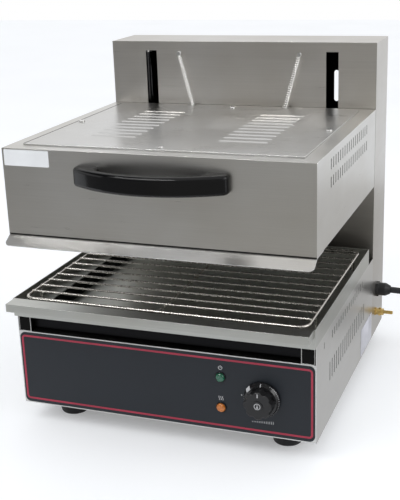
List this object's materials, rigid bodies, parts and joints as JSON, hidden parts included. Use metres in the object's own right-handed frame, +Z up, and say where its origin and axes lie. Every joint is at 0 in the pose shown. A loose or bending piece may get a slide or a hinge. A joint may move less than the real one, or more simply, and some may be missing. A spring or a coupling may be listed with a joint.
{
  "type": "lift salamander grill",
  "caption": "Countertop lift salamander grill with a sprung sliding heating head, louvred cover, bow handle, drip tray, wire grid, control knob and mains cord.",
  "frame": {"origin": "on the bench, under the centre of the casing's footprint (the casing and column, without the tray lip, handle, knob, gland and cord)", "axes": "+X to the right seen from the front, +Y to the back (the column), +Z up; the control panel faces -Y"},
  "size_m": [0.7219, 0.6271, 0.523],
  "materials": {
    "stainless": "brushed",
    "zinc_plate": "satin",
    "plated_steel": "polished",
    "chrome_wire": "polished",
    "spring_steel": "satin",
    "element_sheath": "matt, heat darkened",
    "ceramic": "matt",
    "ceramic_fibre": "matt",
    "aluminium_block": "satin",
    "bronze_bush": "satin",
    "brass": "satin",
    "panel_black": "satin",
    "black_plastic": "gloss",
    "dark_plastic": "matt",
    "pale_plastic": "matt",
    "green_lens": "gloss",
    "amber_lens": "gloss",
    "foot_rubber": "matt",
    "cord_rubber": "matt"
  },
  "bodies": {
    "base": {"back_screws": "plated_steel", "base_casing": "stainless", "bonding_nuts": "brass", "bonding_stud": "brass", "bonding_washers": "brass", "bottom_plate": "zinc_plate", "cable_gland": "dark_plastic", "column_back": "stainless", "column_shell": "stainless", "control_panel": "panel_black", "cord": "cord_rubber", "cord_coil": "cord_rubber", "counterbalance_springs": "spring_steel", "deck_plate": "stainless", "foot_front_left": "foot_rubber", "foot_front_right": "foot_rubber", "foot_rear_left": "foot_rubber", "foot_rear_right": "foot_rubber", "foot_screws": "plated_steel", "gland_nut": "dark_plastic", "guide_rods": "plated_steel", "lamp_bodies": "dark_plastic", "lamp_lens_amber": "amber_lens", "lamp_lens_green": "green_lens", "plug": "cord_rubber", "rod_brackets": "zinc_plate", "rod_collars": "plated_steel", "spring_pins": "plated_steel", "temperature_control": "pale_plastic", "terminal_block": "pale_plastic", "tray_runners": "stainless"},
    "head": {"head_shell": "stainless", "head_cover": "stainless", "cover_screws": "plated_steel", "front_deflector": "stainless", "handle": "black_plastic", "handle_screws": "plated_steel", "reflector": "stainless", "insulation": "ceramic_fibre", "heating_elements": "element_sheath", "element_supports": "zinc_plate", "terminal_beads": "ceramic", "lift_arms": "zinc_plate", "arm_screws": "plated_steel", "slide_blocks": "aluminium_block", "slide_bushes": "bronze_bush", "spring_lugs": "stainless", "lug_pins": "plated_steel"},
    "tray": {"drip_tray": "stainless"},
    "grid": {"wire_grid": "chrome_wire"},
    "knob": {"knob_skirt": "black_plastic", "knob_grip": "dark_plastic", "knob_cap": "dark_plastic", "control_spindle": "plated_steel"}
  },
  "joints": [
    {"name": "head_lift", "type": "slide", "parent": "base", "child": "head", "axis": [0, 0, 1], "range_m": [-0.06, 0.06], "deforming": ["counterbalance_springs"]},
    {"name": "tray_slide", "type": "slide", "parent": "base", "child": "tray", "axis": [0, -1, 0], "range_m": [0, 0.3]},
    {"name": "grid_lift", "type": "slide", "parent": "tray", "child": "grid", "axis": [0, 0, 1], "range_m": [0, 0.015]},
    {"name": "knob_turn", "type": "hinge", "parent": "base", "child": "knob", "pos_m": [0.1495, -0.24, 0.087], "axis": [0, 1, 0], "range_deg": [0, 270]}
  ]
}
